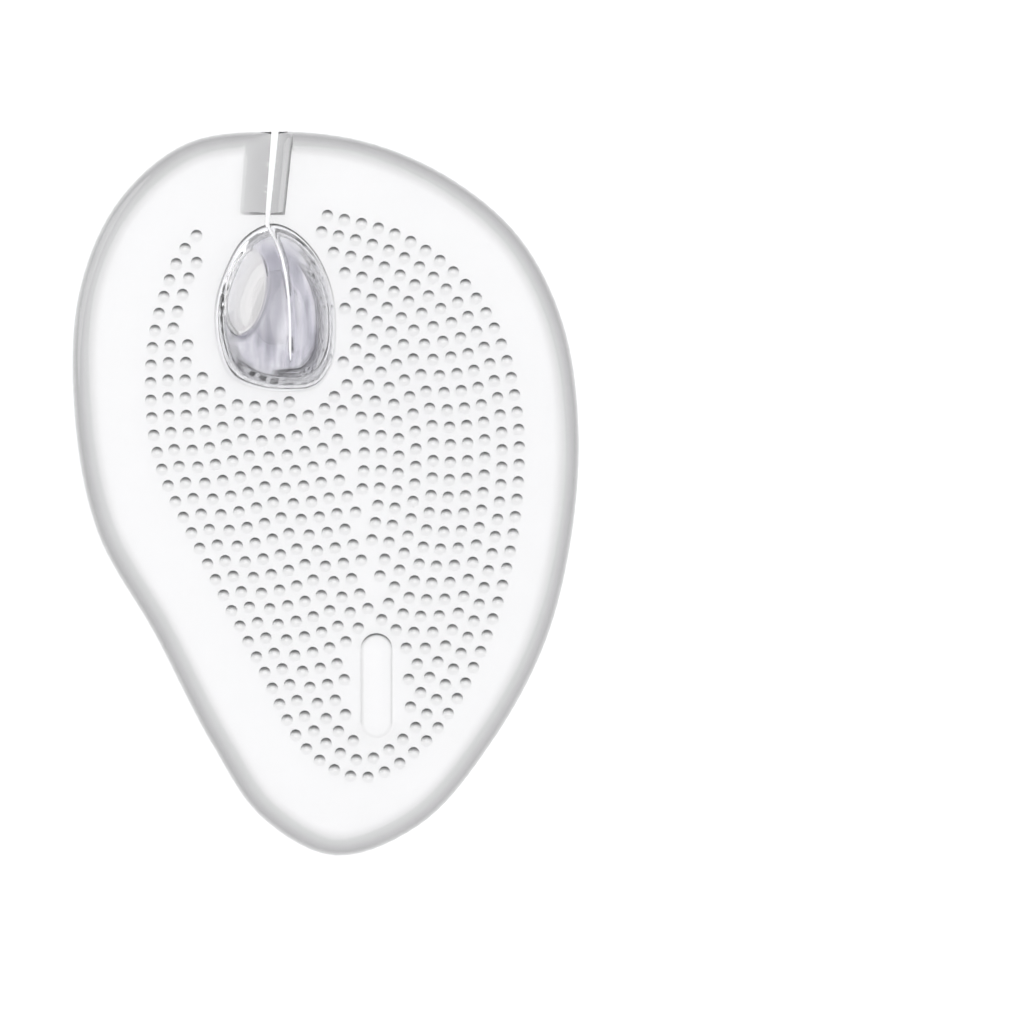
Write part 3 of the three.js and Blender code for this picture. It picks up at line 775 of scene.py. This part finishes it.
    # The painted shade line just outside the panel, on its heel and right sides.
    heelwards = add_node(tree, "ShaderNodeVectorMath", {"operation": "DOT_PRODUCT"}, {
        0: in_panel.outputs["Vector"], 1: (0.5, -0.87, 0),
    })
    side = add_node(tree, "ShaderNodeMapRange", {}, {
        "Value": heelwards.outputs["Value"], "From Min": 0.2, "From Max": 0.7,
    })
    near = add_node(tree, "ShaderNodeMapRange", {}, {
        "Value": outwards.outputs["Value"], "From Min": 1 + 1.5 * PANEL_EDGE, "From Max": 1.0,
    })
    line = add_node(tree, "ShaderNodeMath", {"operation": "MULTIPLY"}, {
        0: side.outputs["Result"], 1: near.outputs["Result"],
    })
    # Painted shade along the seam, in a long oval on the left wing.
    in_seam_shade = add_node(tree, "ShaderNodeMapping", {"vector_type": "TEXTURE"}, {
        "Vector": place, "Location": (*SEAM_SHADE_MIDDLE, 0), "Scale": (*SEAM_SHADE_HALF, 1),
    })
    from_seam_shade = add_node(tree, "ShaderNodeVectorMath", {"operation": "LENGTH"}, {
        0: in_seam_shade.outputs["Vector"],
    })
    seam_shade = add_node(tree, "ShaderNodeMapRange", {}, {
        "Value": from_seam_shade.outputs["Value"], "From Min": 1.0, "From Max": 0.5, "To Max": 0.7,
    })
    seam_shaded = add_node(tree, "ShaderNodeMix", {"data_type": "RGBA"}, {
        0: seam_shade.outputs["Result"], 6: body.outputs[2], 7: linear(GUARD_DARK_GREY),
    })
    lined = add_node(tree, "ShaderNodeMix", {"data_type": "RGBA"}, {
        0: line.outputs["Value"], 6: seam_shaded.outputs[2], 7: linear(PANEL_SHADE_LINE),
    })
    wing = add_node(tree, "ShaderNodeMix", {"data_type": "RGBA"}, {
        0: panel.outputs["Result"], 6: lined.outputs[2], 7: linear(PANEL_PAINTED_REFLECTION),
    })
    rising = add_node(tree, "ShaderNodeMapRange", {}, {
        "Value": up, "From Min": PAD_THICKNESS + 2 * NUB_HEIGHT,
        "From Max": PAD_THICKNESS + 3 * NUB_HEIGHT,
    })
    # Painted light on the guard's steep foot: the steep walls are mixed towards a lighter grey.
    wall = add_node(tree, "ShaderNodeMapRange", {}, {
        "Value": slope, "From Min": STEEP_WALL_LIGHT[0], "From Max": STEEP_WALL_LIGHT[1],
    })
    walled = add_node(tree, "ShaderNodeMix", {"data_type": "RGBA"}, {
        0: wall.outputs["Result"], 6: wing.outputs[2], 7: linear(FOOT_PAINTED_LIGHT),
    })
    raised = add_node(tree, "ShaderNodeMix", {"data_type": "RGBA"}, {
        0: rising.outputs["Result"], 6: arc.outputs["Color"], 7: walled.outputs[2],
    })
    on_top = add_node(tree, "ShaderNodeMath", {"operation": "GREATER_THAN"}, {
        0: up, 1: PAD_THICKNESS + TOP_CLEAR,
    })
    colour = add_node(tree, "ShaderNodeMix", {"data_type": "RGBA"}, {
        0: on_top.outputs["Value"], 6: plate.outputs[2], 7: raised.outputs[2],
    })

    gel = add_node(tree, "ShaderNodeBsdfPrincipled", {}, {
        "Base Color": colour.outputs[2], "Roughness": 0.07, "IOR": 1.43,
        "Transmission Weight": 1.0, "Normal": bump.outputs["Normal"],
    })
    window = add_node(tree, "ShaderNodeBsdfTransparent", {}, {"Color": linear("#fcfcfd")})
    mix = add_node(tree, "ShaderNodeMixShader", {}, {
        0: add_node(tree, "ShaderNodeLightPath").outputs["Is Shadow Ray"],
        1: gel.outputs["BSDF"], 2: window.outputs["BSDF"],
    })
    add_node(tree, "ShaderNodeOutputMaterial", {}, {"Surface": mix.outputs["Shader"]})
    return material


pad.data.materials.clear()
pad.data.materials.append(clear_gel())
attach(pad, "root")
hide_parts(NODE)

# %% [markdown]
# The studio is a plain white floor under soft lamps, bright enough that the floor comes out
# white. A softbox low on the left gives the left wing its sheen. The sky beyond the lamps is
# grey, and the gel's sloping edges pick that grey up.

# %% Floor, lamps and sky
FLOOR_HALF = 1.5
FLOOR_GAP = 0.05 * MM
floor = make_object(
    "floor",
    [(sx * FLOOR_HALF, sy * FLOOR_HALF, -FLOOR_GAP) for sx, sy in ((-1, -1), (1, -1), (1, 1), (-1, 1))],
    [(0, 1, 2, 3)],
)
paper = bpy.data.materials.new("white_paper")
paper.use_nodes = True
paper.node_tree.nodes["Principled BSDF"].inputs["Base Color"].default_value = linear("#f4f4f4")
paper.node_tree.nodes["Principled BSDF"].inputs["Roughness"].default_value = 0.9
paper.node_tree.nodes["Principled BSDF"].inputs["Specular IOR Level"].default_value = 0.0
floor.data.materials.append(paper)


def softbox(name, shape, place, size, power):
    """A lamp that faces the guard."""
    data = bpy.data.lights.new(name, "AREA")
    data.shape = shape
    data.size, data.size_y = size
    data.energy = power
    lamp = bpy.data.objects.new(name, data)
    lamp.location = place
    target = Vector((guard_middle[0], guard_middle[1], PAD_THICKNESS))
    lamp.rotation_euler = (target - Vector(place)).to_track_quat("-Z", "Y").to_euler()
    bpy.context.scene.collection.objects.link(lamp)
    return lamp


softbox("softbox_left", "ELLIPSE", (-0.95, 0.45, 0.38), (1.0, 0.66), 4.5)
softbox("softbox_above", "RECTANGLE", (0.1, 0.1, 1.3), (1.4, 1.4), 12.2)

world = bpy.data.worlds.new("sky")
world.use_nodes = True
world.node_tree.nodes["Background"].inputs["Color"].default_value = linear("#e8e8ea")
world.node_tree.nodes["Background"].inputs["Strength"].default_value = 0.85
bpy.context.scene.world = world
bpy.context.scene.view_settings.view_transform = "Standard"
